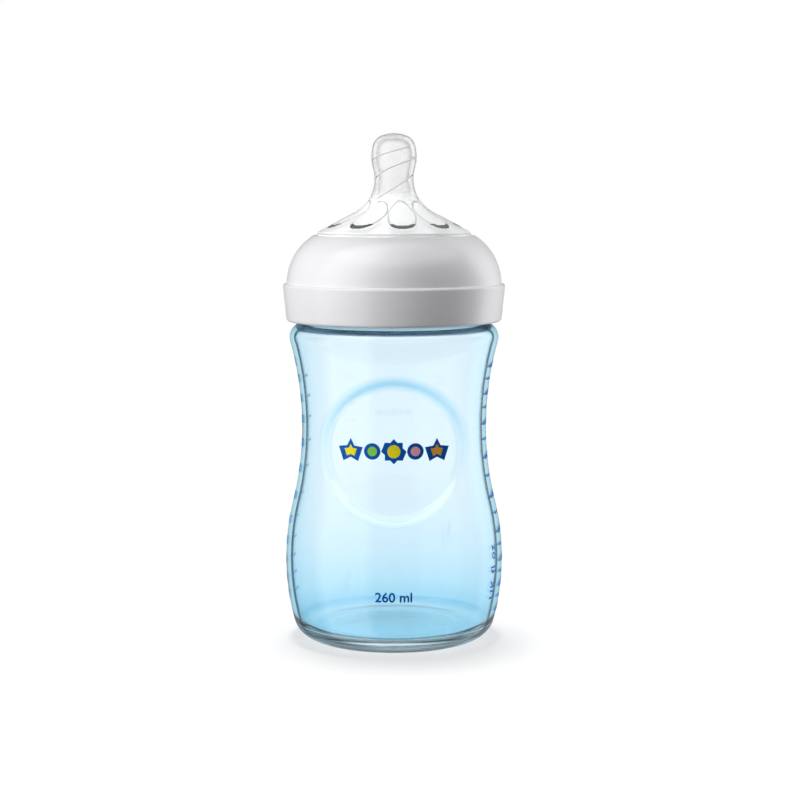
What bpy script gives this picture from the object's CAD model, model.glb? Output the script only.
"""The baby bottle's looks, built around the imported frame. Outlines are in millimetres, as in the design,
and meshes are in metres. Angles go round from the front (-Y) towards the right (+X)."""
import math
from collections import namedtuple

import bmesh
import bpy
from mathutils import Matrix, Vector


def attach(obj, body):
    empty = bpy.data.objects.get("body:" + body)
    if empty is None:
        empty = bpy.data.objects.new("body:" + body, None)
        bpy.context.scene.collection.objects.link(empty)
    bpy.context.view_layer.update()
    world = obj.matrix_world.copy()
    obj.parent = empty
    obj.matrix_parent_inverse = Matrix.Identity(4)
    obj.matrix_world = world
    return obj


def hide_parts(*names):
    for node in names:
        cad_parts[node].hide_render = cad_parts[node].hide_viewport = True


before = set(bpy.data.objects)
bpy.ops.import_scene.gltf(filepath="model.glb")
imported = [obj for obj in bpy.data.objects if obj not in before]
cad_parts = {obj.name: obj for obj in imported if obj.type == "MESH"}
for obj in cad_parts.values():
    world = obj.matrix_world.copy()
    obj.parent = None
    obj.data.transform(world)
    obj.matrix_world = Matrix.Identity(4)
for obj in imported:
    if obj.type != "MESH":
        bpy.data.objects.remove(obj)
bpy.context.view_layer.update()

MM = 0.001
TAU = 2 * math.pi
Arc = namedtuple("Arc", "r z bulge")

# Bottle body, as designed
WALL = 1.4
BELLY_R = 35.6
BELLY_BULGE = 80.0
WAIST_R = 30.15
WAIST_Z = 70.2
WAIST_CURVE = 103.0
SHOULDER_R = 34.1
SHOULDER_BULGE = 4.8
FOOT_BULGE = 8.0
FOOT_INNER_R = 21.5
FOOT_ROUND = 0.9
PUSH_UP = 1.6
FLOOR_Z = 3.6
FLOOR_CROWN = 0.9
FLOOR_BULGE = 6.0
NECK_R = 31.3
NECK_BORE_R = 29.7
NECK_FILLET = 0.6
RIM_Z = 117.3
RIM_ROUND = 0.5

# Outline of the push-up under the base, as shares of the foot's inner radius and of the push-up's height,
# and the points of the floor inside, as shares of its radius
PUSH_UP_SHAPE = ((0.0, 1.0), (0.5, 0.9), (0.8, 0.55), (0.9, 0.3))
FLOOR_SHAPE = (0.8, 0.55, 0.3)

# Recess on the front: its slope runs between two circles
MEDALLION_Z = 65.0
MEDALLION_OUTER_R = 23.4
MEDALLION_INNER_R = 20.2
MEDALLION_DEPTH = 2.2
MEDALLION_FLATTER = 2.0

# Screw thread. It starts at one part of a turn and runs out over another
THREAD_STARTS = 2
THREAD_LEAD = 7.0
THREAD_BASE = 1.5
THREAD_TIP = 0.7
THREAD_RUN_OUT = 0.05
THREAD_ANGLE = 0.25
THREAD_MARGIN = 1.0
NECK_THREAD_Z = 107.3
NECK_THREAD_RISE = 1.4
RING_THREAD_RISE = 1.45

# Screw ring
RING_BOTTOM_Z = 104.3
RING_SKIRT_R = 35.0
RING_BAND_R = 36.25
RING_LEDGE_Z = 116.5
RING_WALL = 1.8
RING_BORE_R = 33.2
RING_MOUTH_R = 25.5
DOME_BULGE = 18.8
DOME_Z = 116.2
RIB_R = 30.75
RIB_Z = 119.35
RIB_HEIGHT = 1.2
BAND_ROUND = 0.8
SKIRT_ROUND = 1.1
MOUTH_ROUND = 0.7
LEDGE_ROUND = 0.25
SMALL_ROUND = 0.3

# Teat
SEAT_Z = 117.35
FLANGE_R = 32.4
FLANGE_HEIGHT = 1.9
FLANGE_FILLET = 0.4
TEAT_GAP = 0.4
TEAT_WALL = 1.5
SKIRT_R = 30.3
SPIGOT_R = 25.15
LIP_R = 25.9
LIP_Z = 132.65
LIP_ROUND = 0.35
FLARE_SLOPE = math.radians(30)
NECKING_R = 6.3
NECKING_CURVE = 12.3
BULB_R = 7.3
BULB_Z = 157.4
BULB_BULGE = 14.0
TIP_Z = 164.9
TIP_BULGE = 11.0
TIP_CORNER = 4.6
MILK_HOLE_R = 0.35

# Petals of the flare: thin ovals, blunter at their outer end, which swell a little on the outside. The wall
# between them is thicker on the inside, where a rib starts and fades out
PETALS = 9
PETAL_TURN = math.radians(10)
PETAL_SWIRL = math.radians(-0.45)
PETAL_HALF_WIDTH = 4.75
PETAL_WIDEST_R = 15.8
PETAL_UP = 7.5
PETAL_DOWN = 6.6
PETAL_BLUNT_IN = 2.0
PETAL_BLUNT_OUT = 2.8
PETAL_EDGE = 0.5
PETAL_END_EDGE = 1.7
PETAL_SWELL = 0.14
CRESCENT_R = PETAL_WIDEST_R + 3.8
RIB_BETWEEN = 0.9
RIB_START_R = 7.0
RIB_START = 2.5
RIB_FADE = 1.5
FLARE_IN_R = 8.5

# How far into a petal, from 0 to 1, its faces change material: first the outline, then the petal itself, and
# where the crescent at its outer end stops. Then the same for the crescent and the petal on the inside, and
# how deep a groove has to be
OUTLINE_FROM = 0.03
PETAL_FROM = 0.75
CRESCENT_TO = 0.985
INNER_PETAL_FROM = 0.02
INNER_CRESCENT_TO = 0.9
GROOVE_FROM = 0.4

# Three fine spiral grooves on the front of the nipple, steeper towards the flare. They fade in and out at
# their ends and sides
GROOVES = 3
GROOVE_Z = 159.0
GROOVE_RISE = 1.9
GROOVE_STEEPER = 0.178
GROOVE_WIDTH = 0.2
GROOVE_DEPTH = 0.22
GROOVE_LOW_Z = 142.5
GROOVE_HIGH_Z = 161.4
GROOVE_FADE_IN = 2.5
GROOVE_FADE_OUT = 1.5
GROOVE_SIDE = 0.15
GROOVE_SIDE_FADE = 0.35

# Printed marks. Stars have a number of points, and how far in their notches reach
INK = 0.06
INK_UNDER = 0.005
PRINT_CUT = 0.8
OUNCE_ML = 28.413
OUNCE_HEIGHTS = (10.7, 18.9, 27.2, 36.6, 48.0, 60.8, 71.9, 81.6, 90.6)
OUNCE_AZIMUTH = math.radians(82)
ML_AZIMUTH = math.radians(-96)
ML_STEP = 20
ML_FIRST = 40
ML_LAST = 240
LONG_TICK = 9.0
SHORT_TICK = 4.5
ML_TICK = 6.0
TICK_HEIGHT = 0.9
WEDGE_HEIGHT = 2.0
OUNCE_TEXT = 4.6
OUNCE_NUMBER_GAP = 3.4
OUNCE_UNIT_X = -10.8
OUNCE_UNIT_Z = 24.0
ML_TEXT = 3.8
ML_NUMBER_GAP = 4.4
ML_UNIT_TEXT = 4.4
ML_UNIT_GAP = 3.4
ML_UNIT_RISE = 5.5
CAPACITY_TEXT = 4.3
CAPACITY_Z = 19.7
MOTIF_PITCH = 6.8
MOTIF_R = 4.0
MOTIF_MIDDLE = 0.52
DISC_R = 2.6
DISC_MIDDLE = 0.58
STAR = (5, 0.5)
SUNBURST = (8, 0.75)

# Places of the materials in the lists that the body and the teat are given
OUTER_WALL, INNER_WALL, INNER_FLOOR = range(3)
CLEAR, FROSTED, PETAL, GROOVE, FLARE, PETAL_END = range(6)

# Mesh fineness
BODY_SEGMENTS = 288
RING_SEGMENTS = 256
TEAT_SEGMENTS = 320
VERY_FINE = 0.12
THREAD_STEP = 0.2
FINE = 0.35
MEDIUM = 0.7
SHARP_ANGLE = math.radians(38)

# Tint of the body at some heights
TINTS = (
    (2.5, (0.93, 0.97, 0.98)),
    (5.0, (0.42, 0.73, 0.88)),
    (12.0, (0.60, 0.83, 0.93)),
    (20.0, (0.69, 0.865, 0.955)),
    (35.0, (0.80, 0.91, 0.965)),
    (55.0, (0.845, 0.93, 0.97)),
    (101.0, (0.825, 0.92, 0.965)),
    (104.0, (0.30, 0.45, 0.55)),
)

# Deeper tint where a wall is seen at a slant, from square on to edge on, for its outside and its inside.
# The dark step is the line along the edge of the hollow
WHITE = (1.0, 1.0, 1.0)
OUTER_EDGE = (
    (0.3, WHITE),
    (0.5, (0.78, 0.93, 0.99)),
    (0.65, (0.46, 0.79, 0.95)),
    (0.67, (0.015, 0.06, 0.10)),
    (0.705, (0.015, 0.06, 0.10)),
    (0.725, (0.28, 0.78, 1.0)),
    (1.0, (0.12, 0.58, 0.9)),
)
INNER_EDGE = (
    (0.7, WHITE),
    (0.75, (0.5, 0.7, 0.8)),
    (0.8, (0.01, 0.03, 0.05)),
    (1.0, (0.0, 0.0, 0.0)),
)
FLOOR_TINT = ((0.0, (0.6, 0.85, 0.97)), (1.0, (0.6, 0.85, 0.97)))

# Deeper tint in the bend of the recess: how far it reaches from the bend's middle, how full it is there, and
# how much of it is at the sides and added at the top
BEND_TINT = (0.58, 0.84, 0.98)
BEND_REACH = 2.4
BEND_FULL = 1.15
BEND_AT_SIDES = 0.4
BEND_AT_TOP = 0.6

# Share of light that the flare scatters, its clearness, and the heights between which the nipple gets clear
FLARE_MILKY = 0.65
CLEARNESS = 0.985
FADE_LOW_Z = 141.5
FADE_HIGH_Z = 147.0

# Greyer where the teat's wall is seen at a slant, for its outside and its inside
EVEN = ((0.0, WHITE), (1.0, WHITE))
OUTER_GREY = ((0.3, WHITE), (0.55, (0.85, 0.85, 0.85)), (1.0, (0.2, 0.2, 0.2)))
INNER_GREY = ((0.3, WHITE), (0.55, (0.5, 0.5, 0.5)), (0.8, (0.06, 0.06, 0.06)))

INKS = {
    "blue": (0.0, 0.11, 0.50),
    "ounce": (0.0, 0.17, 0.55),
    "millilitre": (0.02, 0.38, 0.72),
    "sunny": (1.0, 0.86, 0.02),
    "leafy": (0.26, 0.68, 0.09),
    "rosy": (1.0, 0.47, 0.58),
    "amber": (0.98, 0.47, 0.05),
}
INK_SHADE = 0.8

# What the studio's white walls give: to the eye through the bottle, where it is dark high up and low down,
# to reflections, to matt surfaces with what the floor adds from below, and to matt surfaces behind a clear
# wall
THROUGH = 1.1
DARK = 0.03
DARK_FROM = 0.5
DARK_SOFT = 0.3
GLOSSY = 0.3
DIFFUSE = 0.18
BOUNCE = 0.22
INSIDE = 3.2

# Soft bright patches that reflections show: azimuth and half width in degrees, and how much they add. The
# one overhead starts at a height and ends just behind the bottle, both as parts of a direction
PATCHES = ((-57, 38, 1.3), (122, 24, 0.8))
PATCH_SOFT = 14
OVERHEAD = 2.2
OVERHEAD_FROM = 0.6
OVERHEAD_SOFT = 0.15
OVERHEAD_BACK = 0.1

# Lights: the middle of the bottle and of the teat, and the floor's own sun and glow
BOTTLE_MIDDLE = (0, 0, 0.09)
TEAT_MIDDLE = (0, 0, 0.14)
FLOOR_RADIUS = 12
FLOOR_DROP = 0.0002
FLOOR_GREY = 0.15
FLOOR_GLOW = 0.69
SUN_STRENGTH = 6.2
SUN_WIDTH = math.radians(13)
SUN_DIRECTION = (0.03, -0.09, -1)

# Camera
CAMERA_DISTANCE = 0.6232
CAMERA_PITCH = math.radians(6.4)
CAMERA_AIM = Vector((0.00194, 0, 0.0782))
CAMERA_LENS = 85.5
SENSOR_WIDTH = 36


# ---------------------------------------------------------------- outlines

def smooth(value):
    """0 below 0, 1 above 1, and an even curve between."""
    value = min(max(value, 0.0), 1.0)
    return value * value * (3 - 2 * value)


def join_of(first, second, inset):
    """The point where two tangent arcs join, on the outline moved inwards by inset."""
    share = (first.bulge - inset) / (first.bulge - second.bulge)
    return (first.r + (second.r - first.r) * share, first.z + (second.z - first.z) * share)


def arc_points(arc, inset, start, end, step):
    """Points along an arc, moved inwards by inset, from start to end."""
    first = math.atan2(start[1] - arc.z, start[0] - arc.r)
    turn = math.remainder(math.atan2(end[1] - arc.z, end[0] - arc.r) - first, TAU)
    radius = abs(arc.bulge - inset)
    count = max(3, math.ceil(abs(turn) * radius / step))
    angles = [first + turn * i / count for i in range(count + 1)]
    return [(arc.r + radius * math.cos(a), arc.z + radius * math.sin(a)) for a in angles]


def chain(arcs, inset, start, end, step):
    """Points along a run of tangent arcs from start to end."""
    stops = [start] + [join_of(a, b, inset) for a, b in zip(arcs, arcs[1:])] + [end]
    points = []
    for arc, first, last in zip(arcs, stops, stops[1:]):
        points += arc_points(arc, inset, first, last, step)[1 if points else 0:]
    return points


def corner(before, point, after, radius, count=7):
    """Points round a corner between two straight lines."""
    into = (Vector(point) - Vector(before)).normalized()
    out = (Vector(after) - Vector(point)).normalized()
    turn = into.angle(out)
    reach = radius * math.tan(turn / 2)
    start = Vector(point) - into * reach
    centre = start + (out - into * into.dot(out)).normalized() * radius
    spoke = start - centre
    points = []
    for i in range(count + 1):
        angle = turn * i / count
        spot = centre + spoke * math.cos(angle) + into * radius * math.sin(angle)
        points.append((spot.x, spot.y))
    return points


def straight(start, end, step):
    """Points along a straight line."""
    count = max(1, math.ceil(math.dist(start, end) / step))
    return [(start[0] + (end[0] - start[0]) * i / count,
             start[1] + (end[1] - start[1]) * i / count) for i in range(count + 1)]


def z_on(arc, inset, r):
    return arc.z + math.sqrt((arc.bulge - inset) ** 2 - (r - arc.r) ** 2)


def r_on(arc, inset, z):
    return arc.r + math.sqrt((arc.bulge - inset) ** 2 - (z - arc.z) ** 2)


def touching_at_r(arc, r, bulge, above):
    """The arc of this bulge, centred at radius r, that is tangent to arc."""
    rise = math.sqrt((arc.bulge - bulge) ** 2 - (r - arc.r) ** 2)
    return Arc(r, arc.z + rise if above else arc.z - rise, bulge)


def touching_at_z(arc, z, bulge):
    """The arc of this bulge, centred at height z, that is tangent to arc."""
    return Arc(arc.r + math.sqrt((arc.bulge - bulge) ** 2 - (z - arc.z) ** 2), z, bulge)


def touching_both(side, cap, bulge):
    """The corner arc that is tangent to a side arc and to a cap arc centred below it on the axis."""
    reach_side = side.bulge - bulge
    reach_cap = cap.bulge - bulge
    gap = math.hypot(side.r - cap.r, side.z - cap.z)
    along = (reach_cap ** 2 - reach_side ** 2 + gap ** 2) / (2 * gap)
    across = math.sqrt(reach_cap ** 2 - along ** 2)
    unit_r = (side.r - cap.r) / gap
    unit_z = (side.z - cap.z) / gap
    return Arc(cap.r + along * unit_r + across * unit_z, cap.z + along * unit_z - across * unit_r, bulge)


WAIST = Arc(WAIST_R + WAIST_CURVE, WAIST_Z, -WAIST_CURVE)
BELLY = touching_at_r(WAIST, BELLY_R - BELLY_BULGE, BELLY_BULGE, above=False)
SHOULDER = touching_at_r(WAIST, SHOULDER_R - SHOULDER_BULGE, SHOULDER_BULGE, above=True)
DOME = Arc(RING_BORE_R + RING_WALL - DOME_BULGE, DOME_Z, DOME_BULGE)
SKIRT = Arc(DOME.r, DOME.z, DOME.bulge - RING_WALL - TEAT_GAP)
BULB = Arc(BULB_R - BULB_BULGE, BULB_Z, BULB_BULGE)
NECKING = touching_at_r(BULB, NECKING_R + NECKING_CURVE, -NECKING_CURVE, above=False)
TIP = Arc(0, TIP_Z - TIP_BULGE, TIP_BULGE)
TIP_EDGE = touching_both(BULB, TIP, TIP_CORNER)
NECK_FROM_Z = SHOULDER.z + 3
TEAT_BORE_R = SKIRT_R - TEAT_WALL
SHELF_R = SPIGOT_R - TEAT_WALL


# ---------------------------------------------------------------- meshes

def new_object(name, vertices, faces):
    """A smooth-shaded mesh object from points in millimetres."""
    mesh = bpy.data.meshes.new(name)
    mesh.from_pydata([tuple(c * MM for c in v) for v in vertices], [], faces)
    mesh.update()
    work = bmesh.new()
    work.from_mesh(mesh)
    bmesh.ops.recalc_face_normals(work, faces=work.faces)
    work.to_mesh(mesh)
    work.free()
    for polygon in mesh.polygons:
        polygon.use_smooth = True
    mesh.set_sharp_from_angle(angle=SHARP_ANGLE)
    obj = bpy.data.objects.new(name, mesh)
    bpy.context.scene.collection.objects.link(obj)
    return obj


def lathe(name, outline, segments, place):
    """Turns a closed outline about the axis. place(r, z, azimuth, index) gives each point, which lets a
    surface be pressed in or raised. A point on the axis becomes a single pole."""
    vertices = []
    rows = []
    for index, (r, z) in enumerate(outline):
        if r < 1e-6:
            rows.append([len(vertices)] * segments)
            vertices.append((0, 0, z))
            continue
        rows.append(range(len(vertices), len(vertices) + segments))
        for j in range(segments):
            vertices.append(place(r, z, TAU * j / segments, index))
    faces = []
    for low, high in zip(rows, rows[1:] + rows[:1]):
        for j in range(segments):
            k = (j + 1) % segments
            face = list(dict.fromkeys((low[j], low[k], high[k], high[j])))
            if len(face) > 2:
                faces.append(face)
    return new_object(name, vertices, faces)


def on_circle(r, z, azimuth):
    return (r * math.sin(azimuth), -r * math.cos(azimuth), z)


def thread_share(z, azimuth, start_z):
    """How far a thread ridge stands up at a point, from 0 to 1."""
    best = 0.0
    for start in range(THREAD_STARTS):
        turn = (azimuth / TAU - THREAD_ANGLE - start / THREAD_STARTS) % 1.0
        off = abs(z - start_z - THREAD_LEAD * turn)
        flank = (THREAD_BASE / 2 - off) / ((THREAD_BASE - THREAD_TIP) / 2)
        run_out = smooth(min(turn, 1 - turn) / THREAD_RUN_OUT)
        best = max(best, min(max(flank, 0.0), 1.0) * run_out)
    return best


def face_depth(r, x):
    """Distance from the axis plane to the medallion face, where the plain wall has radius r."""
    flat_r = r + MEDALLION_FLATTER
    return math.sqrt(max(flat_r ** 2 - x ** 2, 0.0)) - MEDALLION_FLATTER - MEDALLION_DEPTH


def body_point(r, z, azimuth, index=0):
    """A point of the body's wall, with the recess pressed in and the neck thread raised."""
    if z > NECK_FROM_Z:
        if r > (NECK_R + NECK_BORE_R) / 2:
            r += NECK_THREAD_RISE * thread_share(z, azimuth, NECK_THREAD_Z)
        return on_circle(r, z, azimuth)
    x, y, z = on_circle(r, z, azimuth)
    if y < 0:
        out = math.hypot(x, z - MEDALLION_Z)
        press = smooth((MEDALLION_OUTER_R - out) / (MEDALLION_OUTER_R - MEDALLION_INNER_R))
        y -= (face_depth(r, x) + y) * press
    return (x, y, z)


def body_outline():
    """The body's wall as one closed line: up the outside, over the rim and down the inside. Also the
    number of its points on the outside."""
    foot = touching_at_z(BELLY, FOOT_BULGE, FOOT_BULGE)
    root_z = z_on(SHOULDER, 0, NECK_R + NECK_FILLET)
    under = [(FOOT_INNER_R * out, PUSH_UP * up) for out, up in PUSH_UP_SHAPE]
    points = under[:-1] + corner(under[-1], (FOOT_INNER_R, 0), (foot.r, 0), FOOT_ROUND)
    points += chain([foot, BELLY, WAIST, SHOULDER], 0, (foot.r, 0), (NECK_R + NECK_FILLET, root_z), MEDIUM)
    points += [(NECK_R + NECK_FILLET * 0.3, root_z + 0.35), (NECK_R, root_z + 0.9)]
    thread_low = (NECK_R, NECK_THREAD_Z - THREAD_MARGIN)
    thread_high = (NECK_R, NECK_THREAD_Z + THREAD_LEAD + THREAD_MARGIN)
    points += straight(thread_low, thread_high, THREAD_STEP)
    outer_round = Arc(NECK_R - RIM_ROUND, RIM_Z - RIM_ROUND, RIM_ROUND)
    inner_round = Arc(NECK_BORE_R + RIM_ROUND, RIM_Z - RIM_ROUND, RIM_ROUND)
    points += arc_points(outer_round, 0, (NECK_R, outer_round.z), (outer_round.r, RIM_Z), VERY_FINE)
    points += arc_points(inner_round, 0, (inner_round.r, RIM_Z), (NECK_BORE_R, inner_round.z), VERY_FINE)
    outside = len(points)
    corner_arc = touching_at_z(Arc(BELLY.r, BELLY.z, BELLY.bulge - WALL), FLOOR_Z + FLOOR_BULGE, FLOOR_BULGE)
    corner_arc = Arc(corner_arc.r, corner_arc.z, FLOOR_BULGE + WALL)
    neck_start = (NECK_BORE_R, z_on(SHOULDER, WALL, NECK_BORE_R))
    inside = chain([corner_arc, BELLY, WAIST, SHOULDER], WALL, (corner_arc.r, FLOOR_Z), neck_start, MEDIUM)
    points += [(NECK_BORE_R, RIM_Z - 7)] + inside[::-1]
    points += [(corner_arc.r * out, FLOOR_Z + FLOOR_CROWN * (1 - out ** 2)) for out in FLOOR_SHAPE]
    return points + [(0, FLOOR_Z + FLOOR_CROWN)], outside


def ring_outline():
    """The ring as one closed line: up the band and dome, in at the mouth and down the inside."""
    low = (RING_BORE_R, RING_BOTTOM_Z)
    skirt = (RING_SKIRT_R, RING_BOTTOM_Z)
    band = (RING_BAND_R, RING_LEDGE_Z)
    dome_foot = (r_on(DOME, 0, RING_LEDGE_Z), RING_LEDGE_Z)
    mouth_r = RING_MOUTH_R + MOUTH_ROUND
    mouth = Arc(mouth_r, z_on(Arc(DOME.r, DOME.z, DOME.bulge - MOUTH_ROUND), 0, mouth_r), MOUTH_ROUND)
    points = corner((RING_BORE_R, RING_LEDGE_Z), low, skirt, SMALL_ROUND)
    points += corner(low, skirt, band, SKIRT_ROUND) + corner(skirt, band, dome_foot, BAND_ROUND, 10)
    points += corner(band, dome_foot, (dome_foot[0], dome_foot[1] + 2), LEDGE_ROUND, 4)
    start = (r_on(DOME, 0, RING_LEDGE_Z + 0.6), RING_LEDGE_Z + 0.6)
    points += arc_points(DOME, 0, start, join_of(DOME, mouth, 0), MEDIUM)
    points += arc_points(mouth, 0, join_of(DOME, mouth, 0), (RING_MOUTH_R, mouth.z), VERY_FINE)[1:]
    rib_top = (r_on(DOME, RING_WALL, RIB_Z + RIB_HEIGHT), RIB_Z + RIB_HEIGHT)
    rib_low = (r_on(DOME, RING_WALL, RIB_Z), RIB_Z)
    mouth_low = (RING_MOUTH_R, z_on(DOME, RING_WALL, RING_MOUTH_R))
    points += arc_points(DOME, RING_WALL, mouth_low, rib_top, 1.0)
    points += corner(rib_top, (RIB_R, rib_top[1]), (RIB_R, RIB_Z), SMALL_ROUND)
    points += corner((RIB_R, rib_top[1]), (RIB_R, RIB_Z), rib_low, SMALL_ROUND)
    points += arc_points(DOME, RING_WALL, rib_low, (RING_BORE_R, DOME_Z), 0.8)
    return points + straight((RING_BORE_R, RIM_Z - 3), (RING_BORE_R, RING_BOTTOM_Z + 0.5), THREAD_STEP)


def ring_point(r, z, azimuth, index):
    """A point of the ring, with the thread raised in its bore."""
    if abs(r - RING_BORE_R) < 0.01 and z < RIM_Z - 2:
        start_z = NECK_THREAD_Z - THREAD_LEAD / THREAD_STARTS / 2
        r -= RING_THREAD_RISE * thread_share(z, azimuth, start_z)
    return on_circle(r, z, azimuth)


def flare_top(inset):
    """Where the nipple's curve turns into the straight slope of the flare."""
    reach = NECKING_CURVE + inset
    return (NECKING.r - reach * math.sin(FLARE_SLOPE), NECKING.z - reach * math.cos(FLARE_SLOPE))


def teat_outline():
    """The teat as one closed line, and the number of its points that are on the outside."""
    top_z = SEAT_Z + FLANGE_HEIGHT
    points = corner((TEAT_BORE_R, SEAT_Z), (FLANGE_R, SEAT_Z), (FLANGE_R, top_z), SMALL_ROUND)
    points += corner((FLANGE_R, SEAT_Z), (FLANGE_R, top_z), (SKIRT_R, top_z), SMALL_ROUND)
    points += corner((FLANGE_R, top_z), (SKIRT_R, top_z), (SKIRT_R, top_z + 3), FLANGE_FILLET)
    skirt_top = (SKIRT_R, z_on(SKIRT, 0, SKIRT_R))
    spigot = (SPIGOT_R, z_on(SKIRT, 0, SPIGOT_R))
    points += arc_points(SKIRT, 0, skirt_top, spigot, MEDIUM)
    points += [(SPIGOT_R, LIP_Z - 0.1)]
    points += corner((SPIGOT_R, LIP_Z), (LIP_R, LIP_Z), flare_top(0), LIP_ROUND)
    points += straight(points[-1], flare_top(0), FINE)[1:]
    points += chain([NECKING, BULB, TIP_EDGE, TIP], 0, flare_top(0), (MILK_HOLE_R, TIP_Z), VERY_FINE)[1:]
    outside = len(points)
    inner_top = TIP_Z - TEAT_WALL
    flare = flare_top(TEAT_WALL)
    inside = chain([NECKING, BULB, TIP_EDGE, TIP], TEAT_WALL, flare, (MILK_HOLE_R, inner_top), FINE)
    flare_low = (SHELF_R, flare[1] - (SHELF_R - flare[0]) * math.tan(FLARE_SLOPE))
    points += inside[::-1] + straight(flare, flare_low, FINE)[1:]
    shelf = (SHELF_R, z_on(SKIRT, TEAT_WALL, SHELF_R))
    bore_top = (TEAT_BORE_R, z_on(SKIRT, TEAT_WALL, TEAT_BORE_R))
    points += arc_points(SKIRT, TEAT_WALL, shelf, bore_top, MEDIUM)
    points += corner((TEAT_BORE_R, top_z), (TEAT_BORE_R, SEAT_Z), (FLANGE_R, SEAT_Z), SMALL_ROUND)
    return points, outside


def petal_share(r, azimuth):
    """1 on a petal, 0 between petals, with a steep edge between."""
    middle = PETAL_TURN + PETAL_SWIRL * (r - PETAL_WIDEST_R)
    across = abs(math.remainder(azimuth - middle, TAU / PETALS)) * r / PETAL_HALF_WIDTH
    along = abs(r - PETAL_WIDEST_R) / (PETAL_UP if r < PETAL_WIDEST_R else PETAL_DOWN)
    blunt = PETAL_BLUNT_IN if r < PETAL_WIDEST_R else PETAL_BLUNT_OUT
    out = (across ** blunt + along ** blunt) ** (1 / blunt)
    end = smooth((r - PETAL_WIDEST_R) / PETAL_DOWN)
    edge = PETAL_EDGE + (PETAL_END_EDGE - PETAL_EDGE) * end
    return smooth((1 - out) * PETAL_HALF_WIDTH / edge)


def groove_share(z, azimuth):
    """How deep the nearest spiral groove is at a point of the nipple, from 0 to 1."""
    if z < GROOVE_LOW_Z or z > GROOVE_HIGH_Z:
        return 0.0
    rise = GROOVE_RISE + (GROOVE_Z - z) * GROOVE_STEEPER
    line = -math.log(rise / GROOVE_RISE) / GROOVE_STEEPER
    off = abs(math.remainder(azimuth - line, TAU / GROOVES)) * rise
    ends = smooth((z - GROOVE_LOW_Z) / GROOVE_FADE_IN) * smooth((GROOVE_HIGH_Z - z) / GROOVE_FADE_OUT)
    front = smooth((math.cos(azimuth) - GROOVE_SIDE) / GROOVE_SIDE_FADE)
    return math.exp(-(off / GROOVE_WIDTH) ** 2) * ends * front


def make_body():
    outline, outside = body_outline()
    shell = lathe("bottle_shell", outline, BODY_SEGMENTS, body_point)
    for face in shell.data.polygons:
        if face.index // BODY_SEGMENTS >= outside:
            low = face.center.z < (FLOOR_Z + FLOOR_BULGE / 2) * MM
            face.material_index = INNER_FLOOR if low else INNER_WALL
    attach(shell, "bottle")
    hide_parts("bottle_body")
    return shell


def make_ring():
    ring = lathe("ring_shell", ring_outline(), RING_SEGMENTS, ring_point)
    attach(ring, "ring")
    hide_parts("screw_ring")
    return ring


def teat_material(outer, r, z, azimuth):
    """Which of the teat's materials a face has. Each petal has a dull outline and a dark crescent at its
    outer end."""
    petal = petal_share(r, azimuth) if z > LIP_Z - 1 else 0
    if not outer:
        if petal <= INNER_PETAL_FROM:
            return FROSTED
        return PETAL_END if r > PETAL_WIDEST_R and petal < INNER_CRESCENT_TO else PETAL
    if groove_share(z, azimuth) > GROOVE_FROM:
        return GROOVE
    if petal > OUTLINE_FROM:
        if r > CRESCENT_R and petal < CRESCENT_TO:
            return PETAL_END
        return PETAL if petal >= PETAL_FROM else GROOVE
    return FLARE if r > FLARE_IN_R else CLEAR


def make_teat():
    outline, outside = teat_outline()
    slope_in = (-math.sin(FLARE_SLOPE), -math.cos(FLARE_SLOPE))

    def place(r, z, azimuth, index):
        if z > GROOVE_LOW_Z and index < outside:
            r -= GROOVE_DEPTH * groove_share(z, azimuth)
        if LIP_Z < z < GROOVE_LOW_Z + 3 and index < outside:
            swell = PETAL_SWELL * petal_share(r, azimuth)
            r -= slope_in[0] * swell
            z -= slope_in[1] * swell
        if index >= outside and r < SHELF_R + 0.01 and z > LIP_Z - 4:
            along = smooth((r - RIB_START_R) / RIB_START) * smooth((SHELF_R - r) / RIB_FADE)
            thick = RIB_BETWEEN * (1 - petal_share(r, azimuth)) * along
            r += slope_in[0] * thick
            z += slope_in[1] * thick
        return on_circle(r, z, azimuth)

    teat = lathe("teat_skin", outline, TEAT_SEGMENTS, place)
    for face in teat.data.polygons:
        x, y, z = face.center / MM
        outer = face.index // TEAT_SEGMENTS < outside - 1
        face.material_index = teat_material(outer, math.hypot(x, y), z, math.atan2(x, -y))
    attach(teat, "teat")
    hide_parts("teat")
    return teat


# ---------------------------------------------------------------- printed marks

def side_radius(z):
    """Outer radius of the plain wall at a height."""
    if z < join_of(BELLY, WAIST, 0)[1]:
        return r_on(BELLY, 0, z)
    return WAIST.r - math.sqrt(WAIST.bulge ** 2 - (z - WAIST.z) ** 2)


def flat_text(words, size, upright=False, spacing=1.0):
    """The outline faces of some words, centred, in millimetres, as (points, faces)."""
    curve = bpy.data.curves.new("words", "FONT")
    curve.body = words
    curve.size = size
    curve.space_character = spacing
    curve.align_x = "CENTER"
    curve.align_y = "CENTER"
    curve.offset = size * 0.02
    curve.resolution_u = 6
    holder = bpy.data.objects.new("words", curve)
    bpy.context.scene.collection.objects.link(holder)
    bpy.context.view_layer.update()
    mesh = bpy.data.meshes.new_from_object(holder)
    points = [(v.co.x, v.co.y) for v in mesh.vertices]
    if upright:
        points = [(-y, x) for x, y in points]
    faces = [list(p.vertices) for p in mesh.polygons]
    bpy.data.objects.remove(holder)
    bpy.data.curves.remove(curve)
    bpy.data.meshes.remove(mesh)
    return points, faces


def polygon(corners):
    """A flat shape of one face."""
    return list(corners), [list(range(len(corners)))]


def star(x, points, inner, reach):
    """A star whose notches reach a share of the way out that its points do."""
    corners = []
    for i in range(2 * points):
        length = reach if i % 2 == 0 else reach * inner
        angle = math.pi / 2 + i * math.pi / points
        corners.append((x + length * math.cos(angle), length * math.sin(angle)))
    return polygon(corners)


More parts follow.
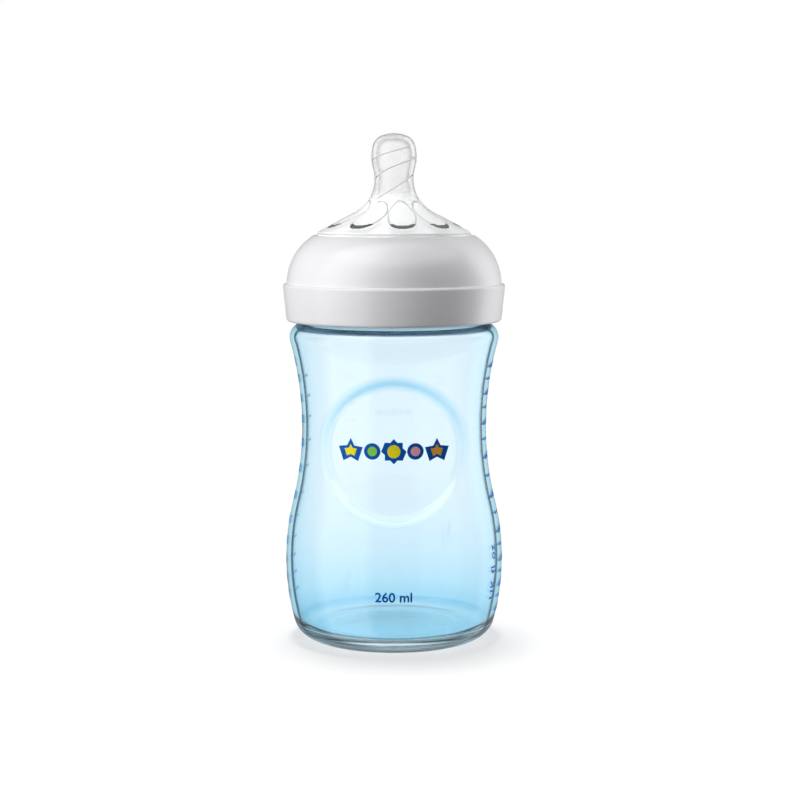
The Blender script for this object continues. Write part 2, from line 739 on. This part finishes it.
def disc(x, reach):
    return polygon([(x + reach * math.cos(TAU * i / 48), reach * math.sin(TAU * i / 48)) for i in range(48)])


def tick(z, length, height, start_height):
    """A tick whose left end is on the scale's left edge. It grows to its full height towards the right."""
    left = -LONG_TICK / 2
    right = left + length
    low = z - height / 2
    return polygon([(left, low), (right, low), (right, low + height), (left, low + start_height)])


def moved(shape, x, z):
    points, faces = shape
    return [(px + x, pz + z) for px, pz in points], faces


def print_on(name, shapes, wrap):
    """Lays flat shapes on the bottle as a thin skin of ink. wrap(x, z, lift) gives a point's place."""
    work = bmesh.new()
    for points, faces in shapes:
        vertices = [work.verts.new((x, 0, z)) for x, z in points]
        for face in faces:
            work.faces.new([vertices[i] for i in face])
    bmesh.ops.triangulate(work, faces=work.faces[:])
    for axis, normal in ((0, Vector((1, 0, 0))), (2, Vector((0, 0, 1)))):
        low = min(v.co[axis] for v in work.verts)
        high = max(v.co[axis] for v in work.verts)
        for i in range(1, int((high - low) / PRINT_CUT) + 1):
            everything = work.verts[:] + work.edges[:] + work.faces[:]
            middle = normal * (low + i * PRINT_CUT)
            bmesh.ops.bisect_plane(work, geom=everything, plane_co=middle, plane_no=normal)
    bmesh.ops.remove_doubles(work, verts=work.verts[:], dist=1e-5)
    front = work.faces[:]
    for face in front:
        if face.normal.y > 0:
            face.normal_flip()
    copy = bmesh.ops.duplicate(work, geom=front)
    pair = copy["vert_map"]
    backs = [f for f in copy["geom"] if isinstance(f, bmesh.types.BMFace)]
    under = {v for f in backs for v in f.verts}
    rims = [e for e in work.edges if len(e.link_faces) == 1 and e.verts[0] not in under]
    for face in backs:
        face.normal_flip()
    for edge in rims:
        a, b = edge.verts
        work.faces.new([a, b, pair[b], pair[a]])
    for vertex in work.verts:
        lift = INK_UNDER if vertex in under else INK
        vertex.co = Vector(wrap(vertex.co.x, vertex.co.z, lift)) * MM
    bmesh.ops.recalc_face_normals(work, faces=work.faces)
    mesh = bpy.data.meshes.new(name)
    work.to_mesh(mesh)
    work.free()
    obj = bpy.data.objects.new(name, mesh)
    bpy.context.scene.collection.objects.link(obj)
    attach(obj, "bottle")
    return obj


def wrap_side(azimuth):
    """A wrap for shapes that lie round the side, with their middle at an azimuth."""
    def wrap(x, z, lift):
        r = side_radius(z) + lift
        return on_circle(r, z, azimuth + x / side_radius(z))
    return wrap


def wrap_front(x, z, lift):
    """Lays a point on the front of the bottle, pressed in where the medallion is."""
    r = side_radius(z)
    spot = body_point(r, z, math.asin(x / r))
    return (x, spot[1] - lift, z)


def height_of(volume):
    """Height of the level of a volume in millilitres, between the ounce marks."""
    place = volume / OUNCE_ML - 1
    low = min(int(place), len(OUNCE_HEIGHTS) - 2)
    share = place - low
    return OUNCE_HEIGHTS[low] * (1 - share) + OUNCE_HEIGHTS[low + 1] * share


def make_ounce_scale():
    shapes = [tick(z, LONG_TICK, WEDGE_HEIGHT, TICK_HEIGHT / 2) for z in OUNCE_HEIGHTS]
    for low, high in zip(OUNCE_HEIGHTS, OUNCE_HEIGHTS[1:]):
        shapes.append(tick((low + high) / 2, SHORT_TICK, TICK_HEIGHT, TICK_HEIGHT / 2))
    for number, z in enumerate(OUNCE_HEIGHTS, 1):
        shapes.append(moved(flat_text(str(number), OUNCE_TEXT), LONG_TICK / 2 + OUNCE_NUMBER_GAP, z))
    unit = flat_text("UK fl oz", OUNCE_TEXT, upright=True, spacing=1.15)
    shapes.append(moved(unit, OUNCE_UNIT_X, OUNCE_UNIT_Z))
    scale = print_on("fluid_ounce_print", shapes, wrap_side(OUNCE_AZIMUTH))
    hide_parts("fluid_ounce_scale")
    return scale


def make_ml_scale():
    shapes = []
    tick_end = ML_TICK - LONG_TICK / 2
    for volume in range(ML_FIRST, ML_LAST + 1, ML_STEP):
        z = height_of(volume)
        shapes.append(tick(z, ML_TICK, TICK_HEIGHT, TICK_HEIGHT))
        shapes.append(moved(flat_text(str(volume), ML_TEXT), tick_end + ML_NUMBER_GAP, z))
    unit = flat_text("ml", ML_UNIT_TEXT)
    shapes.append(moved(unit, tick_end + ML_UNIT_GAP, height_of(ML_LAST) + ML_UNIT_RISE))
    scale = print_on("millilitre_print", shapes, wrap_side(ML_AZIMUTH))
    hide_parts("millilitre_scale")
    return scale


def make_motif():
    """A row of plain shapes, with an ink-blue backing and a coloured middle on each, and the capacity. Gives
    each piece with the name of its ink."""
    end = 2 * MOTIF_PITCH
    backs = [star(-end, *STAR, MOTIF_R), disc(-MOTIF_PITCH, DISC_R), star(0, *SUNBURST, MOTIF_R),
             disc(MOTIF_PITCH, DISC_R), star(end, *STAR, MOTIF_R)]
    backing = print_on("motif_backing", [moved(s, 0, MEDALLION_Z) for s in backs], wrap_front)
    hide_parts("medallion_print")
    small = MOTIF_R * MOTIF_MIDDLE
    small_disc = DISC_R * DISC_MIDDLE
    middles = (
        ("sunny", star(-end, *STAR, small)),
        ("leafy", disc(-MOTIF_PITCH, small_disc)),
        ("sunny", disc(0, small)),
        ("rosy", disc(MOTIF_PITCH, small_disc)),
        ("amber", star(end, *STAR, small)),
    )

    def wrap_middle(x, z, lift):
        return wrap_front(x, z, lift + INK)

    pieces = [(backing, "blue")]
    for i, (colour, shape) in enumerate(middles):
        middle = print_on(f"motif_{colour}_{i}", [moved(shape, 0, MEDALLION_Z)], wrap_middle)
        pieces.append((middle, colour))
    capacity = moved(flat_text("260 ml", CAPACITY_TEXT), 0, CAPACITY_Z)
    return pieces + [(print_on("capacity_print", [capacity], wrap_front), "blue")]


# ---------------------------------------------------------------- materials

def new_material(name):
    """An empty material, and its shader."""
    material = bpy.data.materials.new(name)
    material.use_nodes = True
    nodes = material.node_tree.nodes
    nodes.clear()
    output = nodes.new("ShaderNodeOutputMaterial")
    shader = nodes.new("ShaderNodeBsdfPrincipled")
    material.node_tree.links.new(shader.outputs["BSDF"], output.inputs["Surface"])
    return material, shader


def add(material, kind, **values):
    """A node with some of its inputs and settings given."""
    node = material.node_tree.nodes.new(kind)
    for key, value in values.items():
        if hasattr(node, key):
            setattr(node, key, value)
        else:
            node.inputs[key.replace("_", " ")].default_value = value
    return node


def link(material, source, target):
    material.node_tree.links.new(source, target)


def tree_math(tree, operation, *values, clamp=False):
    """A maths node fed by sockets or by numbers."""
    node = tree.nodes.new("ShaderNodeMath")
    node.operation = operation
    node.use_clamp = clamp
    for slot, value in zip(node.inputs, values):
        if isinstance(value, (int, float)):
            slot.default_value = value
        else:
            tree.links.new(value, slot)
    return node.outputs["Value"]


def on_piece(material, kind, **values):
    """A node that is fed by the place in the object's own space, so that what it gives stays on the piece."""
    place = add(material, "ShaderNodeTexCoord")
    node = add(material, kind, **values)
    link(material, place.outputs["Object"], node.inputs["Vector"])
    return node


def noise(material, scale, detail=3.0):
    """Fine or coarse grain, from 0 to 1."""
    return on_piece(material, "ShaderNodeTexNoise", Scale=scale, Detail=detail).outputs["Fac"]


def vary(material, fac, low, high):
    """Turns 0 to 1 into low to high."""
    spread = add(material, "ShaderNodeMapRange", To_Min=low, To_Max=high)
    link(material, fac, spread.inputs["Value"])
    return spread.outputs["Result"]


def bump(material, shader, fac, strength, distance):
    node = add(material, "ShaderNodeBump", Strength=strength, Distance=distance)
    link(material, fac, node.inputs["Height"])
    link(material, node.outputs["Normal"], shader.inputs["Normal"])


def ramp(material, fac, stops):
    """A colour that runs through stops, which are places from 0 to 1 with their colours."""
    node = add(material, "ShaderNodeValToRGB")
    elements = node.color_ramp.elements
    while len(elements) < len(stops):
        elements.new(0.5)
    for element, (position, colour) in zip(elements, stops):
        element.position = position
        element.color = (*colour, 1)
    link(material, fac, node.inputs["Fac"])
    return node.outputs["Color"]


def slant_ramp(material, stops):
    """A colour that runs from square on, at 0, to edge on, at 1."""
    slant = add(material, "ShaderNodeLayerWeight", Blend=0.5)
    return ramp(material, slant.outputs["Facing"], stops)


def mix(material, fac, first, second):
    """Runs from the first colour to the second. Each is a socket or a colour."""
    node = add(material, "ShaderNodeMix", data_type="RGBA")
    link(material, fac, node.inputs["Factor"])
    for slot, value in (("A", first), ("B", second)):
        if isinstance(value, tuple):
            node.inputs[slot].default_value = (*value, 1)
        else:
            link(material, value, node.inputs[slot])
    return node.outputs["Result"]


def multiply(material, first, second):
    both = add(material, "ShaderNodeMix", data_type="RGBA", blend_type="MULTIPLY")
    both.inputs["Factor"].default_value = 1.0
    link(material, first, both.inputs["A"])
    link(material, second, both.inputs["B"])
    return both.outputs["Result"]


def bend_share(material, split):
    """1 on the upper bend of the recess, less at its sides and 0 towards its bottom."""
    tree = material.node_tree
    x = split.outputs["X"]
    above = tree_math(tree, "SUBTRACT", split.outputs["Z"], MEDALLION_Z * MM)
    squares = tree_math(tree, "ADD", tree_math(tree, "MULTIPLY", x, x),
                        tree_math(tree, "MULTIPLY", above, above))
    out = tree_math(tree, "SQRT", squares)
    middle = (MEDALLION_OUTER_R + MEDALLION_INNER_R) / 2 * MM
    off = tree_math(tree, "ABSOLUTE", tree_math(tree, "SUBTRACT", out, middle))
    reach = tree_math(tree, "DIVIDE", off, BEND_REACH * MM)
    band = tree_math(tree, "SUBTRACT", BEND_FULL, reach, clamp=True)
    upper = tree_math(tree, "MULTIPLY_ADD", above, BEND_AT_TOP / middle, BEND_AT_SIDES, clamp=True)
    front = tree_math(tree, "LESS_THAN", split.outputs["Y"], 0.0)
    return tree_math(tree, "MULTIPLY", tree_math(tree, "MULTIPLY", band, upper), front)


def blue_plastic(name, edge_tints, low, high):
    """Clear plastic whose roughness runs from low to high. It is tinted by height, where its wall is seen at
    a slant, and in the bend of the recess."""
    material, shader = new_material(name)
    shader.inputs["Transmission Weight"].default_value = 1.0
    shader.inputs["IOR"].default_value = 1.49
    split = on_piece(material, "ShaderNodeSeparateXYZ")
    height = tree_math(material.node_tree, "DIVIDE", split.outputs["Z"], NECK_THREAD_Z * MM)
    by_height = ramp(material, height, [(z / NECK_THREAD_Z, colour) for z, colour in TINTS])
    bent = mix(material, bend_share(material, split), WHITE, BEND_TINT)
    tinted = multiply(material, by_height, slant_ramp(material, edge_tints))
    link(material, multiply(material, tinted, bent), shader.inputs["Base Color"])
    link(material, vary(material, noise(material, 90), low, high), shader.inputs["Roughness"])
    bump(material, shader, noise(material, 45, 1.0), 0.12, 0.0004)
    return material


def white_plastic():
    material, shader = new_material("white_plastic")
    shader.inputs["Base Color"].default_value = (0.86, 0.86, 0.885, 1)
    shader.inputs["IOR"].default_value = 1.5
    shader.inputs["Subsurface Weight"].default_value = 0.08
    shader.inputs["Subsurface Radius"].default_value = (0.002, 0.002, 0.002)
    link(material, vary(material, noise(material, 120), 0.16, 0.24), shader.inputs["Roughness"])
    bump(material, shader, noise(material, 900, 2.0), 0.06, 0.0001)
    return material


def silicone(name, low, high, milky, shade=CLEARNESS, edge_tints=EVEN, faded=False):
    """Clear silicone whose surface roughness runs from low to high, and which scatters a share of light.
    A faded one turns into the milkier silicone of the flare towards its foot."""
    material, shader = new_material(name)
    tint = slant_ramp(material, [(at, [part * shade for part in grey]) for at, grey in edge_tints])
    shader.inputs["Transmission Weight"].default_value = 1.0 - milky
    if faded:
        split = on_piece(material, "ShaderNodeSeparateXYZ")
        height = add(material, "ShaderNodeMapRange", From_Min=FADE_LOW_Z * MM, From_Max=FADE_HIGH_Z * MM)
        link(material, split.outputs["Z"], height.inputs["Value"])
        tint = mix(material, height.outputs["Result"], (CLEARNESS, CLEARNESS, CLEARNESS), tint)
        clear = vary(material, height.outputs["Result"], 1.0 - FLARE_MILKY, 1.0 - milky)
        link(material, clear, shader.inputs["Transmission Weight"])
    link(material, tint, shader.inputs["Base Color"])
    shader.inputs["IOR"].default_value = 1.41
    link(material, vary(material, noise(material, 160), low, high), shader.inputs["Roughness"])
    bump(material, shader, noise(material, 260, 2.0), 0.05, 0.0002)
    return material


def ink(name, colour):
    """Flat printed ink whose colour and roughness vary a little."""
    material, shader = new_material(name)
    shader.inputs["Specular IOR Level"].default_value = 0.15
    darker = tuple(part * INK_SHADE for part in colour)
    link(material, mix(material, noise(material, 700), colour, darker), shader.inputs["Base Color"])
    link(material, vary(material, noise(material, 300), 0.38, 0.5), shader.inputs["Roughness"])
    return material


def dress(piece, *materials):
    """Gives a piece its materials, in the order of its faces' places for them."""
    for material in materials:
        piece.data.materials.append(material)


# ---------------------------------------------------------------- studio

def make_camera():
    camera = bpy.data.objects.new("camera", bpy.data.cameras.new("camera"))
    bpy.context.scene.collection.objects.link(camera)
    back = Vector((0, -math.cos(CAMERA_PITCH), math.sin(CAMERA_PITCH)))
    camera.location = CAMERA_AIM + back * CAMERA_DISTANCE
    camera.rotation_euler = (math.pi / 2 - CAMERA_PITCH, 0, 0)
    camera.data.lens = CAMERA_LENS
    camera.data.sensor_width = SENSOR_WIDTH
    bpy.context.scene.camera = camera


def softbox(name, place, aim, width, height, power, group="not_floor"):
    """A rectangular light that points at aim and lights the things of a group. It isn't seen in
    reflections or through the bottle, where the world is seen."""
    data = bpy.data.lights.new(name, "AREA")
    data.shape = "RECTANGLE"
    data.size = width
    data.size_y = height
    data.energy = power
    light = bpy.data.objects.new(name, data)
    bpy.context.scene.collection.objects.link(light)
    light.location = place
    light.rotation_euler = (Vector(aim) - Vector(place)).to_track_quat("-Z", "Y").to_euler()
    light.visible_glossy = False
    light.visible_transmission = False
    light.light_linking.receiver_collection = bpy.data.collections[group]


def group_of(name, piece):
    """A collection of one piece, for lights that light only it or all but it."""
    group = bpy.data.collections.new(name)
    bpy.context.scene.collection.children.link(group)
    group.objects.link(piece)
    return group


def make_floor():
    """A pale floor that only the camera sees, and a sun that lights only the floor, for a soft shadow."""
    bpy.ops.mesh.primitive_circle_add(vertices=96, radius=FLOOR_RADIUS, fill_type="NGON",
                                      location=(0, 0, -FLOOR_DROP))
    floor = bpy.context.object
    floor.name = "floor"
    material, shader = new_material("floor")
    shader.inputs["Base Color"].default_value = (FLOOR_GREY, FLOOR_GREY, FLOOR_GREY, 1)
    shader.inputs["Roughness"].default_value = 0.8
    shader.inputs["Specular IOR Level"].default_value = 0.0
    shader.inputs["Emission Color"].default_value = (1, 1, 1, 1)
    shader.inputs["Emission Strength"].default_value = FLOOR_GLOW
    dress(floor, material)
    floor.visible_diffuse = False
    floor.visible_glossy = False
    floor.visible_transmission = False
    only = group_of("floor_only", floor)
    apart = group_of("not_floor", floor)
    apart.collection_objects[0].light_linking.link_state = "EXCLUDE"
    data = bpy.data.lights.new("floor_sun", "SUN")
    data.energy = SUN_STRENGTH
    data.angle = SUN_WIDTH
    sun = bpy.data.objects.new("floor_sun", data)
    bpy.context.scene.collection.objects.link(sun)
    sun.rotation_euler = Vector(SUN_DIRECTION).to_track_quat("-Z", "Y").to_euler()
    sun.light_linking.receiver_collection = only


def reflected_light(tree, split):
    """What reflections see: an even wall, the soft patches, and the patch overhead."""
    back = tree_math(tree, "MULTIPLY", split.outputs["Y"], -1.0)
    azimuth = tree_math(tree, "ARCTAN2", split.outputs["X"], back)
    shine = GLOSSY
    for middle, half_width, strength in PATCHES:
        off = tree_math(tree, "ABSOLUTE", tree_math(tree, "SUBTRACT", azimuth, math.radians(middle)))
        into = tree_math(tree, "SUBTRACT", math.radians(half_width), off)
        patch = tree_math(tree, "DIVIDE", into, math.radians(PATCH_SOFT), clamp=True)
        shine = tree_math(tree, "MULTIPLY_ADD", patch, strength, shine)
    above = tree_math(tree, "SUBTRACT", split.outputs["Z"], OVERHEAD_FROM)
    high = tree_math(tree, "DIVIDE", above, OVERHEAD_SOFT, clamp=True)
    not_behind = tree_math(tree, "LESS_THAN", split.outputs["Y"], OVERHEAD_BACK)
    overhead = tree_math(tree, "MULTIPLY", high, not_behind)
    return tree_math(tree, "MULTIPLY_ADD", overhead, OVERHEAD, shine)


def make_world():
    """White for the eye and for what is seen through the bottle, dimmer for what lights it. Seen through
    the bottle it has a dark top and bottom, which draw the edges of the foot. What a matt surface sees
    through a clear wall is brighter."""
    world = bpy.data.worlds.new("studio")
    bpy.context.scene.world = world
    world.use_nodes = True
    tree = world.node_tree
    tree.nodes.clear()
    output = tree.nodes.new("ShaderNodeOutputWorld")
    light = tree.nodes.new("ShaderNodeBackground")
    light.inputs["Color"].default_value = (1, 1, 1, 1)
    path = tree.nodes.new("ShaderNodeLightPath")
    place = tree.nodes.new("ShaderNodeTexCoord")
    split = tree.nodes.new("ShaderNodeSeparateXYZ")
    tree.links.new(place.outputs["Generated"], split.inputs["Vector"])
    tilt = tree_math(tree, "ABSOLUTE", split.outputs["Z"])
    steep = tree_math(tree, "DIVIDE", tree_math(tree, "SUBTRACT", tilt, DARK_FROM), DARK_SOFT, clamp=True)
    through = tree_math(tree, "MULTIPLY_ADD", steep, DARK - THROUGH, THROUGH)
    seen = tree_math(tree, "MULTIPLY", path.outputs["Is Transmission Ray"], through)
    glossy = tree_math(tree, "MULTIPLY", path.outputs["Is Glossy Ray"], reflected_light(tree, split))
    direct = tree_math(tree, "MAXIMUM", path.outputs["Is Camera Ray"], seen)
    below = tree_math(tree, "LESS_THAN", split.outputs["Z"], 0.0)
    around = tree_math(tree, "MULTIPLY_ADD", below, BOUNCE, DIFFUSE)
    first = tree_math(tree, "MAXIMUM", tree_math(tree, "MAXIMUM", direct, glossy), around)
    lit = tree_math(tree, "GREATER_THAN", path.outputs["Diffuse Depth"], 0.5)
    outward = tree_math(tree, "MULTIPLY", lit, path.outputs["Is Transmission Ray"])
    after = tree_math(tree, "MULTIPLY_ADD", outward, INSIDE - DIFFUSE, DIFFUSE)
    kept = tree_math(tree, "MULTIPLY", first, tree_math(tree, "SUBTRACT", 1.0, lit))
    total = tree_math(tree, "MULTIPLY_ADD", after, lit, kept)
    tree.links.new(total, light.inputs["Strength"])
    tree.links.new(light.outputs["Background"], output.inputs["Surface"])


def make_studio():
    make_camera()
    make_world()
    make_floor()
    softbox("key_left", (-0.91, -0.39, 0.36), BOTTLE_MIDDLE, 1.0, 1.0, 12.0)
    softbox("rim_right", (0.84, 0.36, 0.12), BOTTLE_MIDDLE, 0.5, 1.0, 13.5)
    softbox("top_front", (-0.15, -0.45, 0.95), BOTTLE_MIDDLE, 0.7, 0.4, 2.0)
    scene = bpy.context.scene
    scene.view_settings.view_transform = "Standard"
    scene.cycles.use_denoising = True
    scene.cycles.max_bounces = 24
    scene.cycles.transmission_bounces = 24
    scene.cycles.glossy_bounces = 8
    scene.cycles.diffuse_bounces = 4
    scene.cycles.blur_glossy = 0.5
    scene.cycles.sample_clamp_indirect = 6.0


def make_bottle():
    """All pieces with their materials."""
    teat = make_teat()
    group_of("teat_only", teat)
    softbox("teat_fill", (-0.25, -0.5, 0.9), TEAT_MIDDLE, 0.8, 0.8, 5.0, "teat_only")
    dress(make_body(),
          blue_plastic("clear_blue_plastic", OUTER_EDGE, 0.0, 0.035),
          blue_plastic("inner_blue_plastic", INNER_EDGE, 0.0, 0.035),
          blue_plastic("inner_blue_floor", FLOOR_TINT, 0.12, 0.2))
    dress(make_ring(), white_plastic())
    dress(teat,
          silicone("clear_silicone", 0.06, 0.12, 0.08, 0.87, OUTER_GREY, faded=True),
          silicone("frosted_silicone", 0.2, 0.3, 0.1, 0.9, INNER_GREY, faded=True),
          silicone("petal_silicone", 0.05, 0.1, FLARE_MILKY),
          silicone("groove_silicone", 0.3, 0.4, 0.3, 0.5),
          silicone("flare_silicone", 0.15, 0.25, FLARE_MILKY),
          silicone("petal_end_silicone", 0.05, 0.1, 0.0, 0.05))
    inks = {name: ink(f"{name}_ink", colour) for name, colour in INKS.items()}
    dress(make_ounce_scale(), inks["ounce"])
    dress(make_ml_scale(), inks["millilitre"])
    for piece, name in make_motif():
        dress(piece, inks[name])


make_studio()
make_bottle()
